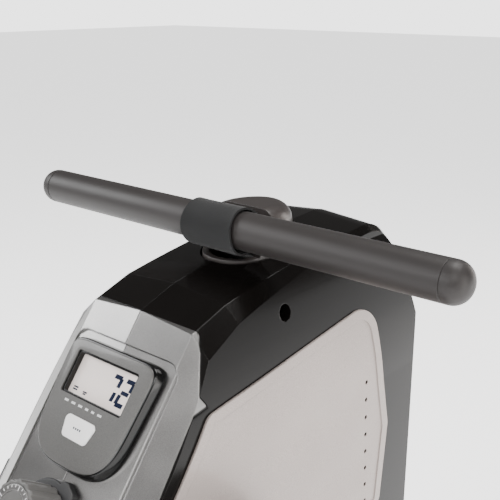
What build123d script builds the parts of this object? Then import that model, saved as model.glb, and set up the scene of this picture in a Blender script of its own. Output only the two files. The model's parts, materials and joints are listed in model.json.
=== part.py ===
"""Home rowing machine with a magnetic brake, as an assembly of separate pieces.

+Y runs from the seat towards the flywheel housing, +X is the rower's right and +Z is up.
The origin is on the floor under the middle of the machine. Millimetres throughout.
"""

import os
from math import cos, radians, sin

from build123d import *

os.makedirs("parts", exist_ok=True)

# ---- Driving dimensions ----
HALF_LENGTH = 933
BAR_Y = 705  # axis of the handlebar where it is stowed
BAR_Z = 560
BAR_R = 16
BAR_HALF = 231
GRIP_HALF = 214
GAP = 0.3  # between pieces that move past each other
RUN = 0.05  # radial clearance of a shaft in its bore

WALL = 3
HOUSING_HALF = 84
FLOOR = 80  # underside of the housing
CROWN = 5 / 60  # how far the top falls away from its centre line, per mm across
BEVEL = 0.9  # the same, along the beveled edges
BEVEL_X = 56
SEAM = 0.2

SLOPE = 52.8  # console face, degrees from level
SLOPE_TOP = (BAR_Y - 87, BAR_Z - 51)
SLOPE_LENGTH = 250
KNOB_DOWN = 167  # the knob's distance down the console face

DRUM_Y, DRUM_Z = BAR_Y - 36, BAR_Z - 142
WHEEL_Y, WHEEL_Z = BAR_Y + 85, BAR_Z - 298
ROLLER_Y, ROLLER_Z = BAR_Y + 30, BAR_Z - 32
ROLLER_R = 7
CORE_R = 30
WOUND_R = 38
DRIVE_R = 72
CLUTCH_R = 16
FLYWHEEL_R = 122
AXLE_R = 8
BELT_X = 34
BELT_W = 14
STRAP_HALF = 22
STRAP_T = 2
PLATE_X = 56  # inner faces of the frame's side plates
PLATE_T = 4
BRAKE_Y, BRAKE_Z = WHEEL_Y - 115, WHEEL_Z - 80
CABLE_Z = WHEEL_Z + 44

RAIL_TOP = 215
RAIL_FRONT = 370
RAIL_REAR = -900
FLANGE_HALF = 32
FLANGE_T = 8
WEB_HALF = 22
RAIL_DEPTH = 65
HINGE_Y, HINGE_Z = 340, 166
PIN_R = 6

SEAT_Y = -150
TOP_ROLLER_R = 18
LOW_ROLLER_R = 11
ROLLER_REACH = 65  # rollers to the middle of the carriage
CARRIAGE_HALF = 95
CARRIAGE_TOP = 258

PEDAL_Y, PEDAL_Z = BAR_Y - 109, 215
PEDAL_X = 148
PEDAL_TILT = 52
PEDAL_W = 104
PEDAL_L = 300

FRONT_FOOT_Y = 860
REAR_FOOT_Y = 28 - HALF_LENGTH
FOOT_Z = 28
FOOT_HALF = 214
FOOT_R = 25
TYRE_R = 21

SIDES = ((1, "right"), (-1, "left"))


def finish(piece, name):
    """Labels a piece and writes it as one STEP file."""
    piece.part.label = name
    export_step(piece.part, f"parts/{name}.step")


def rod(x, y, z, radius, width, mode=Mode.ADD):
    """Adds a round bar along X, from x to x + width."""
    turned = Location((x, y, z), (0, 90, 0))
    with Locations(turned):
        Cylinder(radius, width, align=(Align.CENTER, Align.CENTER, Align.MIN), mode=mode)


def block(x, y, z, mode=Mode.ADD):
    """Adds a box, given its low and high x, y and z."""
    with Locations(((x[0] + x[1]) / 2, (y[0] + y[1]) / 2, (z[0] + z[1]) / 2)):
        Box(x[1] - x[0], y[1] - y[0], z[1] - z[0], mode=mode)


def slope_point(down, out=0):
    """A point (y, z) by the console face: down the slope from its top edge, and out of it."""
    a = radians(SLOPE)
    y = SLOPE_TOP[0] - down * cos(a) - out * sin(a)
    z = SLOPE_TOP[1] - down * sin(a) + out * cos(a)
    return y, z


def slope_plane(out=0, down=0):
    """Plane on the console face: x across the machine, y up the slope, normal outwards."""
    y, z = slope_point(down, out)
    a = radians(SLOPE)
    return Plane(origin=(0, y, z), x_dir=(1, 0, 0), z_dir=(0, -sin(a), cos(a)))


OUTWARDS = Axis((0, 0, 0), slope_plane().z_dir)


def pedal_plane(x, out=0):
    """Plane on a pedal: x across, y towards the toes, normal towards the rower."""
    a = radians(PEDAL_TILT)
    at = (x, PEDAL_Y - out * sin(a), PEDAL_Z + out * cos(a))
    return Plane(origin=at, x_dir=(1, 0, 0), z_dir=(0, -sin(a), cos(a)))


# ---- Flywheel housing: the form that the shells, side panels and surround share ----
DECK_KINK = (BAR_Y - 51, BAR_Z - 38)
DECK_MIDDLE = (BAR_Y + 35, BAR_Z - 23.5)
DECK_FRONT = (BAR_Y + 160, BAR_Z - 12)
NOSE_MIDDLE = (BAR_Y + 222, BAR_Z - 235)
NOSE_FOOT = (BAR_Y + 202, FLOOR)
HEEL = (BAR_Y - 140, FLOOR)
CHIN = (BAR_Y - 216, BAR_Z - 315)
NOSE_ROUND = 44
CHIN_ROUND = 40
FOOT_ROUND = 14
CORNER_ROUND = 56


def housing_half(inset):
    """The right half of the housing as a solid, its outside moved in by inset."""
    with BuildPart() as half:
        with BuildSketch(Plane.YZ):
            with BuildLine():
                Polyline(HEEL, CHIN, slope_point(SLOPE_LENGTH), SLOPE_TOP, DECK_KINK)
                ThreePointArc(DECK_KINK, DECK_MIDDLE, DECK_FRONT)
                TangentArc(NOSE_MIDDLE, DECK_FRONT, tangent=(0, 1))
                TangentArc(NOSE_MIDDLE, NOSE_FOOT, tangent=(0, -1))
                Line(NOSE_FOOT, HEEL)
            make_face()
            if inset:
                offset(amount=-inset, kind=Kind.INTERSECTION)
            fillet(vertices().sort_by(Axis.Y)[-1], NOSE_ROUND - inset)
            fillet(vertices().sort_by(Axis.X)[:2], CHIN_ROUND - inset)
            fillet(vertices().group_by(Axis.Y)[0], FOOT_ROUND - inset)
        extrude(amount=HOUSING_HALF * 1.2, dir=(1, 0, -CROWN))
        with BuildSketch(Plane.YZ, mode=Mode.PRIVATE) as raised:
            with BuildLine():
                Polyline((0, 0), slope_point(SLOPE_LENGTH * 1.6), SLOPE_TOP, DECK_KINK)
                ThreePointArc(DECK_KINK, DECK_MIDDLE, DECK_FRONT)
                TangentArc(NOSE_MIDDLE, DECK_FRONT, tangent=(0, 1))
                Polyline(NOSE_MIDDLE, (NOSE_MIDDLE[0], -200), (0, -200), (0, 0))
            make_face()
            if inset:
                offset(amount=-inset, kind=Kind.INTERSECTION)
            fillet(vertices().sort_by(Axis.Y)[-1], NOSE_ROUND - inset)
        lift = (BEVEL - CROWN) * BEVEL_X
        high = raised.sketch.moved(Location((0, 0, lift)))
        extrude(high, amount=HOUSING_HALF * 1.6, dir=(1, 0, -BEVEL), mode=Mode.INTERSECT)
        with BuildSketch(Plane.XZ.offset(-BAR_Y - 300)):
            with BuildLine():
                Polyline((0, 40), (0, 640), (60, 640), (62.5, BAR_Z - 30))
                ThreePointArc((62.5, BAR_Z - 30), (75.5, BAR_Z - 84), (81.5, BAR_Z - 165))
                Polyline((81.5, BAR_Z - 165), (HOUSING_HALF, BAR_Z - 320), (HOUSING_HALF, 40), (0, 40))
            make_face()
            mirror(about=Plane.YZ)
            if inset:
                offset(amount=-inset, kind=Kind.INTERSECTION)
        extrude(amount=700, mode=Mode.INTERSECT)
        with BuildSketch(Plane.XY):
            with Locations((0, BAR_Y - 79)):
                Rectangle(2 * HOUSING_HALF + 10, 602)
            fillet(vertices().group_by(Axis.Y)[-1], CORNER_ROUND)
            if inset:
                offset(amount=-inset, kind=Kind.INTERSECTION)
        extrude(amount=700, mode=Mode.INTERSECT)
    return half.part


def mirrored(half, name):
    """Writes a right-hand piece and its left-hand twin."""
    finish(half, f"{name}_right")
    with BuildPart() as twin:
        mirror(half.part, about=Plane.YZ)
    finish(twin, f"{name}_left")


def paired(half, name):
    """Writes a right-hand piece and its left-hand twin as the two solids of one node."""
    with BuildPart() as pair:
        add(half.part)
        mirror(half.part, about=Plane.YZ)
    finish(pair, name)


outer = housing_half(0)
inner = housing_half(WALL)


def surround_outline(grow=0):
    """The right half of the console surround, seen square to the console face."""
    with BuildSketch(slope_plane(40)) as outline:
        with BuildLine():
            Polyline((0, 0), (58, 0), (66, -14), (78, -46), (80, -125), (78, -196), (60, -214))
            Polyline((60, -214), (0, -214), (0, 0))
        make_face()
        fillet(vertices().filter_by(lambda v: v.X > 1), 7)
        if grow:
            offset(amount=grow, kind=Kind.INTERSECTION)
    return outline.sketch


def panel_outline(shrink=0):
    """The right side panel, seen from the side."""
    with BuildSketch(Plane.YZ.offset(HOUSING_HALF - 22)) as outline:
        with Locations((BAR_Y, BAR_Z)):
            Polygon((-96, -110), (120, -82), (147, -214), (136, -300), (-150, -300),
                    (-176, -216), align=None)
        fillet(vertices().sort_by(Axis.Y)[-1], 30)
        fillet(vertices().sort_by(Axis.Y)[:-2], 12)
        if shrink:
            offset(amount=-shrink)
    return outline.sketch


CUP_Y = BAR_Y + 39
CUP_HALF_X, CUP_HALF_Y = 38, 46
SCREW_Y, SCREW_Z = BAR_Y + 3, BAR_Z - 61

# ---- Housing shells ----
with BuildPart() as shell:
    add(outer)
    add(inner, mode=Mode.SUBTRACT)
    block((-1, SEAM), (0, 1200), (0, 700), Mode.SUBTRACT)
    extrude(surround_outline(GAP), amount=-70, mode=Mode.SUBTRACT)
    with BuildSketch(Plane.XY.offset(BAR_Z - 90)):
        with Locations((0, CUP_Y)):
            Ellipse(CUP_HALF_X + GAP, CUP_HALF_Y + GAP)
    extrude(amount=120, mode=Mode.SUBTRACT)
    rod(0, PEDAL_Y, PEDAL_Z, AXLE_R + 1, 120, Mode.SUBTRACT)
    block((-30, 26), (380, 640), (FLOOR + 3, 126), Mode.SUBTRACT)
    block((-30, 26), (842, 878), (0, 120), Mode.SUBTRACT)
    with BuildPart(mode=Mode.PRIVATE) as boss:
        rod(54, SCREW_Y, SCREW_Z, 9.5, 40)
        add(outer, mode=Mode.INTERSECT)
    add(boss.part)
    rod(60, SCREW_Y, SCREW_Z, 7, 40, Mode.SUBTRACT)
    rod(50, SCREW_Y, SCREW_Z, 3, 40, Mode.SUBTRACT)
mirrored(shell, "shell")

# ---- Side panels, lying on the shells ----
with BuildPart() as panel:
    add(housing_half(-2.2))
    add(housing_half(-0.15), mode=Mode.SUBTRACT)
    extrude(panel_outline(), amount=40, mode=Mode.INTERSECT)
    with BuildPart(mode=Mode.PRIVATE) as field:
        add(housing_half(-4))
        add(housing_half(-1.2), mode=Mode.SUBTRACT)
        extrude(panel_outline(9), amount=40, mode=Mode.INTERSECT)
    add(field.part, mode=Mode.SUBTRACT)
    for i in range(8):
        rod(60, BAR_Y + 109 + 0.43 * i, BAR_Z - 158 - 18 * i, 2, 40, Mode.SUBTRACT)
paired(panel, "side_panels")

# ---- Console surround: two halves that fill the opening in the shells ----
BOX_HALF, BOX_TOP, BOX_BOTTOM, BOX_DEPTH = 38, 47, 115, 15
floor_form = housing_half(2)
with BuildPart() as surround:
    add(outer)
    add(housing_half(3.6), mode=Mode.SUBTRACT)
    block((-1, SEAM), (0, 1200), (0, 700), Mode.SUBTRACT)
    extrude(surround_outline(), amount=-70, mode=Mode.INTERSECT)
    with BuildPart(mode=Mode.PRIVATE) as pocket:
        add(housing_half(-3))
        add(floor_form, mode=Mode.SUBTRACT)
        with BuildSketch(slope_plane(20)):
            with Locations((0, -28)):
                RectangleRounded(118, 172, 12, align=(Align.CENTER, Align.MAX))
        extrude(amount=-60, mode=Mode.INTERSECT)
    add(pocket.part, mode=Mode.SUBTRACT)
    with BuildSketch(slope_plane(20)):
        with Locations((0, -BOX_TOP + 0.5)):
            Rectangle(2 * BOX_HALF + 1, BOX_BOTTOM - BOX_TOP + 1, align=(Align.CENTER, Align.MAX))
        with Locations((0, -KNOB_DOWN)):
            Circle(6.5)
    extrude(amount=-60, mode=Mode.SUBTRACT)
mirrored(surround, "surround")


def console_outline(out, half_top, half_low, top, low, bottom, corner):
    """A console-shaped sketch: nearly straight sides, rounded top corners, bowed bottom edge."""
    with BuildSketch(slope_plane(out)) as outline:
        with BuildLine():
            Polyline((-half_low, -low), (-half_top, -top), (half_top, -top), (half_low, -low))
            ThreePointArc((half_low, -low), (0, -bottom), (-half_low, -low))
        make_face()
        fillet(vertices(), corner)
    return outline.sketch


# ---- Console ----
FACE_OUT = 7
with BuildPart() as console_body:
    extrude(console_outline(-9, 50, 46.5, 35, 116, 129, 9), amount=14)
    fillet(faces().sort_by(OUTWARDS)[-1].edges(), 1.5)
    add(housing_half(1.9), mode=Mode.SUBTRACT)
    mirror(housing_half(1.9), about=Plane.YZ, mode=Mode.SUBTRACT)
    with BuildSketch(slope_plane(-BOX_DEPTH)):
        with Locations((0, -(BOX_TOP + BOX_BOTTOM) / 2)):
            Rectangle(2 * BOX_HALF, BOX_BOTTOM - BOX_TOP)
    extrude(amount=BOX_DEPTH + 3)
    with BuildSketch(slope_plane(1.6 - BOX_DEPTH)):
        with Locations((0, -(BOX_TOP + BOX_BOTTOM) / 2)):
            Rectangle(2 * BOX_HALF - 3.2, BOX_BOTTOM - BOX_TOP - 3.2)
    extrude(amount=40, mode=Mode.SUBTRACT)
finish(console_body, "console_body")

with BuildPart() as electronics:
    for down in (70, 86):
        y, z = slope_point(down, -8)
        rod(-22, y, z, 5.2, 44)
    with BuildSketch(slope_plane(-2.4)):
        with Locations((0, -(BOX_TOP + BOX_BOTTOM) / 2)):
            Rectangle(2 * BOX_HALF - 4, BOX_BOTTOM - BOX_TOP - 4)
    extrude(amount=1.6)
finish(electronics, "electronics")


def button_outline(out, grow=0):
    """The mode button's outline: wider at the top than at the bottom."""
    with BuildSketch(slope_plane(out)) as outline:
        Polygon((-18, -92), (18, -92), (13.5, -109), (-13.5, -109), align=None)
        fillet(vertices(), 4)
        if grow:
            offset(amount=grow)
    return outline.sketch


with BuildPart() as console_face:
    extrude(console_outline(5, 41, 40, 41, 112, 121, 5), amount=FACE_OUT - 5)
    chamfer(faces().sort_by(OUTWARDS)[-1].edges(), 0.6)
    with BuildSketch(slope_plane(4)):
        with Locations((-1, -47.5)):
            RectangleRounded(66, 29.5, 2, align=(Align.CENTER, Align.MAX))
    extrude(amount=9, mode=Mode.SUBTRACT)
    extrude(button_outline(4, GAP), amount=9, mode=Mode.SUBTRACT)
finish(console_face, "console_face")

with BuildPart() as lcd_panel:
    with BuildSketch(slope_plane(1.4)):
        with Locations((-1, -49)):
            Rectangle(70, 31, align=(Align.CENTER, Align.MAX))
    extrude(amount=2)
finish(lcd_panel, "lcd_panel")

with BuildPart() as mode_button:
    extrude(button_outline(1.6, 2), amount=1.6)
    extrude(button_outline(3.2), amount=4.8)
    fillet(faces().sort_by(OUTWARDS)[-1].edges(), 0.8)
finish(mode_button, "mode_button")

# ---- Brake knob on the console face ----
with BuildPart() as knob_base:
    with BuildSketch(slope_plane(-6, KNOB_DOWN)):
        Circle(28)
        with PolarLocations(25, 3, 60):
            RectangleRounded(14, 18, 5)
    extrude(amount=11)
    chamfer(faces().sort_by(OUTWARDS)[-1].edges(), 1)
    with BuildSketch(slope_plane(-8, KNOB_DOWN)):
        Circle(5 + RUN)
    extrude(amount=20, mode=Mode.SUBTRACT)
    add(housing_half(1.9), mode=Mode.SUBTRACT)
    mirror(housing_half(1.9), about=Plane.YZ, mode=Mode.SUBTRACT)
finish(knob_base, "knob_base")

with BuildPart() as tension_knob:
    with BuildSketch(slope_plane(5.4, KNOB_DOWN)):
        Circle(23)
        with PolarLocations(25.2, 16):
            Circle(3.4, mode=Mode.SUBTRACT)
    extrude(amount=29, taper=3)
    fillet(faces().sort_by(OUTWARDS)[-1].edges(), 1.2)
    with BuildSketch(slope_plane(33.6, KNOB_DOWN)):
        Circle(18.1)
        Circle(12.9, mode=Mode.SUBTRACT)
    extrude(amount=4, mode=Mode.SUBTRACT)
    with BuildSketch(slope_plane(-18, KNOB_DOWN)):
        Circle(5)
    extrude(amount=24)
finish(tension_knob, "tension_knob")

inside = housing_half(3.8)
with BuildPart() as cable_winder:
    with BuildSketch(slope_plane(-24, KNOB_DOWN)):
        Circle(17)
    extrude(amount=24)
    with BuildPart(mode=Mode.PRIVATE) as hollow:
        add(inside)
        mirror(inside, about=Plane.YZ)
    add(hollow.part, mode=Mode.INTERSECT)
    with BuildSketch(slope_plane(-18.5, KNOB_DOWN)):
        Circle(5 + RUN)
    extrude(amount=30, mode=Mode.SUBTRACT)
finish(cable_winder, "cable_winder")

# ---- Strap guide: a slant-cut cup on the deck ----
with BuildPart() as strap_guide:
    with BuildSketch(Plane.XY.offset(BAR_Z - 52)):
        with Locations((0, CUP_Y)):
            Ellipse(CUP_HALF_X, CUP_HALF_Y)
    extrude(amount=63, taper=4)
    fillet(faces().sort_by(Axis.Z)[-1].edges(), 16)
    with BuildSketch(Plane.XY.offset(BAR_Z - 60)):
        with Locations((0, CUP_Y)):
            Ellipse(CUP_HALF_X - 5.5, CUP_HALF_Y - 5.5)
    extrude(amount=44, taper=4, mode=Mode.SUBTRACT)
    with BuildSketch(Plane.YZ.offset(-60)):
        with Locations((BAR_Y, BAR_Z)):
            Polygon((-60, -28), (8, -28), (17, -27), (33, 4), (35, 80), (-60, 80), align=None)
    extrude(amount=120, mode=Mode.SUBTRACT)
    for side in (-1, 1):
        with Locations((side * 31, ROLLER_Y, ROLLER_Z - 8)):
            Box(8, 12, 24)
    rod(-34.5, ROLLER_Y, ROLLER_Z, 3 + RUN, 69, Mode.SUBTRACT)
finish(strap_guide, "strap_guide")

with BuildPart() as guide_roller:
    rod(-24.5, ROLLER_Y, ROLLER_Z, ROLLER_R, 49)
    for x in (-24.5, 22.5):
        rod(x, ROLLER_Y, ROLLER_Z, ROLLER_R + 1.6, 2)
    rod(-34, ROLLER_Y, ROLLER_Z, 3, 68)
finish(guide_roller, "guide_roller")

# ---- Handlebar ----
with BuildPart() as bar_core:
    rod(-GRIP_HALF - 8, BAR_Y, BAR_Z, 11, 2 * GRIP_HALF + 16)
    rod(-GRIP_HALF - 8, BAR_Y, BAR_Z, 9, 2 * GRIP_HALF + 16, Mode.SUBTRACT)
finish(bar_core, "bar_core")

with BuildPart() as grip:
    rod(SEAM, BAR_Y, BAR_Z, BAR_R, GRIP_HALF - 0.4)
    fillet(edges().filter_by(GeomType.CIRCLE).sort_by(Axis.X)[-1], 0.8)
    rod(0, BAR_Y, BAR_Z, 11, GRIP_HALF, Mode.SUBTRACT)
paired(grip, "grips")

with BuildPart() as bar_cap:
    rod(GRIP_HALF, BAR_Y, BAR_Z, BAR_R, BAR_HALF - GRIP_HALF)
    fillet(edges().sort_by(Axis.X)[-1], 14)
    rod(GRIP_HALF, BAR_Y, BAR_Z, 11, 8, Mode.SUBTRACT)
paired(bar_cap, "bar_caps")

LOOP_START, LOOP_END = -24, 31
with BuildPart() as strap_loop:
    with BuildSketch(Plane.YZ.offset(LOOP_START)):
        with Locations((BAR_Y, BAR_Z)):
            Circle(BAR_R + 2.2)
            Circle(BAR_R + 0.1, mode=Mode.SUBTRACT)
    extrude(amount=LOOP_END - LOOP_START)
    with BuildSketch(Plane.YZ.offset(-STRAP_HALF)):
        with Locations((BAR_Y, BAR_Z)):
            Polygon((-6, -15), (10, -14), (9, -22.3), (2, -22.3), align=None)
            Circle(BAR_R + 0.1, mode=Mode.SUBTRACT)
    extrude(amount=2 * STRAP_HALF)
finish(strap_loop, "strap_loop")

# ---- Pull strap: the stub that stretches, the run inside, and the turns on the drum ----
with BuildPart() as strap_stub:
    with BuildSketch(Plane.YZ.offset(-STRAP_HALF)):
        with BuildLine():
            Polyline((BAR_Y + 2, BAR_Z - 25.4), (BAR_Y + 2, BAR_Z - 23.3), (ROLLER_Y, BAR_Z - 22.7),
                     (ROLLER_Y, BAR_Z - 24.6), (BAR_Y + 2, BAR_Z - 25.4))
        make_face()
    extrude(amount=2 * STRAP_HALF)
finish(strap_stub, "strap_stub")

RIDE = ROLLER_R + GAP
with BuildPart() as strap_run:
    with BuildSketch(Plane.YZ.offset(-STRAP_HALF)):
        with BuildLine():
            leaving = radians(-18)
            Line((ROLLER_Y + RIDE * cos(leaving), ROLLER_Z + RIDE * sin(leaving)),
                 (DRUM_Y + WOUND_R + 1, DRUM_Z + 8))
            Line((DRUM_Y + WOUND_R + 1, DRUM_Z + 8), (DRUM_Y + WOUND_R + 3, DRUM_Z + 8))
            Line((DRUM_Y + WOUND_R + 3, DRUM_Z + 8),
                 (ROLLER_Y + (RIDE + STRAP_T) * cos(leaving), ROLLER_Z + (RIDE + STRAP_T) * sin(leaving)))
            CenterArc((ROLLER_Y, ROLLER_Z), RIDE + STRAP_T, -18, 98)
            CenterArc((ROLLER_Y, ROLLER_Z), RIDE, -18, 98)
            a = radians(80)
            Line((ROLLER_Y + RIDE * cos(a), ROLLER_Z + RIDE * sin(a)),
                 (ROLLER_Y + (RIDE + STRAP_T) * cos(a), ROLLER_Z + (RIDE + STRAP_T) * sin(a)))
        make_face()
    extrude(amount=2 * STRAP_HALF)
finish(strap_run, "strap_run")

with BuildPart() as strap_turns:
    rod(-STRAP_HALF, DRUM_Y, DRUM_Z, WOUND_R, 2 * STRAP_HALF)
    rod(-STRAP_HALF, DRUM_Y, DRUM_Z, CORE_R + 0.1, 2 * STRAP_HALF, Mode.SUBTRACT)
finish(strap_turns, "strap_turns")

# ---- Drum, drive pulley, clutch pulley and belt ----
with BuildPart() as strap_drum:
    rod(-25, DRUM_Y, DRUM_Z, CORE_R, 50)
    for x in (-27, 25):
        rod(x, DRUM_Y, DRUM_Z, 48, 2)
    rod(-30, DRUM_Y, DRUM_Z, AXLE_R + 0.02, 60, Mode.SUBTRACT)
finish(strap_drum, "strap_drum")

with BuildPart() as drive_pulley:
    rod(BELT_X, DRUM_Y, DRUM_Z, DRIVE_R, BELT_W)
    for x in (BELT_X - 2, BELT_X + BELT_W):
        rod(x, DRUM_Y, DRUM_Z, DRIVE_R + 3, 2)
    rod(28, DRUM_Y, DRUM_Z, 16, 4)
    with BuildSketch(Plane.YZ.offset(BELT_X - 4)):
        with Locations((DRUM_Y, DRUM_Z)):
            with PolarLocations(47, 6):
                Circle(15)
    extrude(amount=BELT_W + 12, mode=Mode.SUBTRACT)
    rod(20, DRUM_Y, DRUM_Z, AXLE_R + 0.02, 40, Mode.SUBTRACT)
finish(drive_pulley, "drive_pulley")

with BuildPart() as drum_shaft:
    rod(-PLATE_X - 8, DRUM_Y, DRUM_Z, AXLE_R, 2 * PLATE_X + 16)
finish(drum_shaft, "drum_shaft")

with BuildPart() as spring_case:
    rod(-PLATE_X + 3, DRUM_Y, DRUM_Z, 42, 21)
    rod(-PLATE_X, DRUM_Y, DRUM_Z, AXLE_R + 0.8, 30, Mode.SUBTRACT)
finish(spring_case, "spring_case")

with BuildPart() as clutch_pulley:
    rod(BELT_X, WHEEL_Y, WHEEL_Z, CLUTCH_R, BELT_W)
    for x in (BELT_X - 2, BELT_X + BELT_W):
        rod(x, WHEEL_Y, WHEEL_Z, CLUTCH_R + 3, 2)
    rod(20, WHEEL_Y, WHEEL_Z, AXLE_R + RUN, 40, Mode.SUBTRACT)
finish(clutch_pulley, "clutch_pulley")


def belt_loop(spread):
    """A belt line's outline around both pulleys, spread beyond their running radii."""
    with BuildSketch(Plane.YZ.offset(BELT_X + 0.5)) as loop:
        with Locations((DRUM_Y, DRUM_Z)):
            Circle(DRIVE_R + spread)
        with Locations((WHEEL_Y, WHEEL_Z)):
            Circle(CLUTCH_R + spread)
        make_hull()
    return loop.sketch


with BuildPart() as drive_belt:
    extrude(belt_loop(2.8), amount=BELT_W - 1)
    extrude(belt_loop(GAP), amount=BELT_W - 1, mode=Mode.SUBTRACT)
finish(drive_belt, "drive_belt")

# ---- Flywheel ----
RIM_X = -28
RIM_W = 40
with BuildPart() as flywheel:
    with BuildSketch(Plane.XY) as section:
        with Locations((RIM_X, FLYWHEEL_R - 20)):
            Rectangle(RIM_W, 20, align=(Align.MIN, Align.MIN))
        with Locations((RIM_X + 16, 10)):
            Rectangle(8, FLYWHEEL_R - 20, align=(Align.MIN, Align.MIN))
        with Locations((RIM_X + 2, 15)):
            Rectangle(RIM_W + 10, 9, align=(Align.MIN, Align.MIN))
        with Locations((RIM_X + 10, 10)):
            Rectangle(RIM_W - 10, 6, align=(Align.MIN, Align.MIN))
    placed = section.sketch.moved(Location((0, WHEEL_Y, WHEEL_Z)))
    revolve(placed, axis=Axis((0, WHEEL_Y, WHEEL_Z), (1, 0, 0)))
    with BuildSketch(Plane.YZ.offset(RIM_X)):
        with Locations((WHEEL_Y, WHEEL_Z)):
            with PolarLocations(63, 6):
                Circle(18)
    extrude(amount=RIM_W, mode=Mode.SUBTRACT)
    rod(RIM_X - 2, WHEEL_Y, WHEEL_Z, AXLE_R + RUN, RIM_W + 20, Mode.SUBTRACT)
finish(flywheel, "flywheel")

STUB_Y = WHEEL_Y - 133

# ---- Magnetic brake: a curved arm with magnets, its cable, and the cable's stop ----
with BuildPart() as brake_arm:
    with BuildSketch(Plane.YZ.offset(RIM_X)):
        with BuildLine(mode=Mode.PRIVATE) as spine:
            CenterArc((WHEEL_Y, WHEEL_Z), 133, 160, 52)
        SlotArc(spine.edges()[0], 5)
    extrude(amount=RIM_W)
    rod(RIM_X, BRAKE_Y, BRAKE_Z, 9, RIM_W)
    rod(RIM_X - 1, BRAKE_Y, BRAKE_Z, 5 + RUN, RIM_W + 2, Mode.SUBTRACT)
    with BuildSketch(Plane.XZ.offset(-STUB_Y - 8)):
        with Locations((0, CABLE_Z)):
            Circle(0.8)
    extrude(amount=14.5)
finish(brake_arm, "brake_arm")

with BuildPart() as brake_magnets:
    with BuildSketch(Plane.YZ.offset(RIM_X + 4)):
        with Locations((WHEEL_Y, WHEEL_Z)):
            for turn in (166, 180, 194):
                with PolarLocations(127.2, 1, turn):
                    Rectangle(4.4, 26)
    extrude(amount=RIM_W - 8)
finish(brake_magnets, "brake_magnets")

with BuildPart() as cable_stop:
    with BuildSketch(Plane.XZ.offset(-STUB_Y + 25)):
        with Locations((0, CABLE_Z)):
            Circle(6)
            Circle(2.6, mode=Mode.SUBTRACT)
    extrude(amount=5)
    block((-9, 9), (STUB_Y - 34, STUB_Y - 30), (CABLE_Z - 10, CABLE_Z + 10))
    block((-PLATE_X, PLATE_X), (STUB_Y - 34, STUB_Y - 30), (CABLE_Z - 26, CABLE_Z - 10))
finish(cable_stop, "cable_stop")

cable_start = slope_point(KNOB_DOWN, -24)
run = (cable_start[1] - CABLE_Z) / sin(radians(90 - SLOPE))
cable_turn = (cable_start[0] + run * cos(radians(90 - SLOPE)), CABLE_Z)
with BuildPart() as brake_cable:
    with BuildLine() as route:
        FilletPolyline((0, *cable_start), (0, *cable_turn), (0, STUB_Y - 34, CABLE_Z), radius=24)
    with BuildSketch(Plane(origin=route.line @ 0, z_dir=route.line % 0)):
        Circle(2)
    sweep(path=route.line)
finish(brake_cable, "brake_cable")

# ---- Frame ----
with BuildPart() as main_frame:
    block((-25, 25), (320, 885), (84, 124))
    block((-22, 22), (319, 886), (87, 121), Mode.SUBTRACT)
    for y in (585, 815):
        block((-PLATE_X, PLATE_X), (y - 15, y + 15), (84, 124))
    block((-24, 24), (844, 876), (FOOT_Z + 20, 84))
    rod(-30, FRONT_FOOT_Y, FOOT_Z, FOOT_R + 0.1, 60, Mode.SUBTRACT)
finish(main_frame, "main_frame")

with BuildPart() as frame_plate:
    with BuildSketch(Plane.YZ.offset(PLATE_X)):
        Polygon((560, 88), (560, 240), (632, 400), (646, 450), (692, 450), (712, 400),
                (828, 290), (846, 88), align=None)
        fillet(vertices(), 12)
        with Locations((640, 300)):
            Circle(22, mode=Mode.SUBTRACT)
    extrude(amount=PLATE_T)
    rod(PLATE_X - 2, DRUM_Y, DRUM_Z, 13, 8)
    rod(PLATE_X - 3, DRUM_Y, DRUM_Z, AXLE_R + RUN, 10, Mode.SUBTRACT)
    for y, z, radius in ((WHEEL_Y, WHEEL_Z, AXLE_R), (PEDAL_Y, PEDAL_Z, AXLE_R), (BRAKE_Y, BRAKE_Z, 5)):
        rod(PLATE_X - 1, y, z, radius + 0.02, 6, Mode.SUBTRACT)
paired(frame_plate, "frame_plates")

with BuildPart() as frame_axles:
    reach = PLATE_X + PLATE_T
    for y, z, radius in ((WHEEL_Y, WHEEL_Z, AXLE_R), (BRAKE_Y, BRAKE_Z, 5)):
        rod(-reach - 8, y, z, radius, 2 * reach + 16)
        for x in (-reach - 6, reach):
            with BuildSketch(Plane.YZ.offset(x)):
                with Locations((y, z)):
                    RegularPolygon(radius + 5, 6)
            extrude(amount=6)
finish(frame_axles, "frame_axles")

# ---- Front and rear feet ----
with BuildPart() as front_foot:
    rod(-FOOT_HALF, FRONT_FOOT_Y, FOOT_Z, FOOT_R, 2 * FOOT_HALF)
    for side in (-1, 1):
        for x in (side * 152, side * 180):
            with BuildSketch(Plane.YZ.offset(x - 1.5)):
                Polygon((FRONT_FOOT_Y + 10, FOOT_Z - 16), (FRONT_FOOT_Y + 56, FOOT_Z - 6),
                        (FRONT_FOOT_Y + 56, FOOT_Z + 8), (FRONT_FOOT_Y + 10, FOOT_Z + 18), align=None)
                fillet(vertices().group_by(Axis.X)[-1], 6)
            extrude(amount=3)
    rod(-FOOT_HALF - 1, FRONT_FOOT_Y, FOOT_Z, FOOT_R - 2, 2 * FOOT_HALF + 2, Mode.SUBTRACT)
    for side in (-1, 1):
        rod(side * 166 - 18, HALF_LENGTH - TYRE_R, FOOT_Z + 1, 4, 36)
finish(front_foot, "front_foot")

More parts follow.
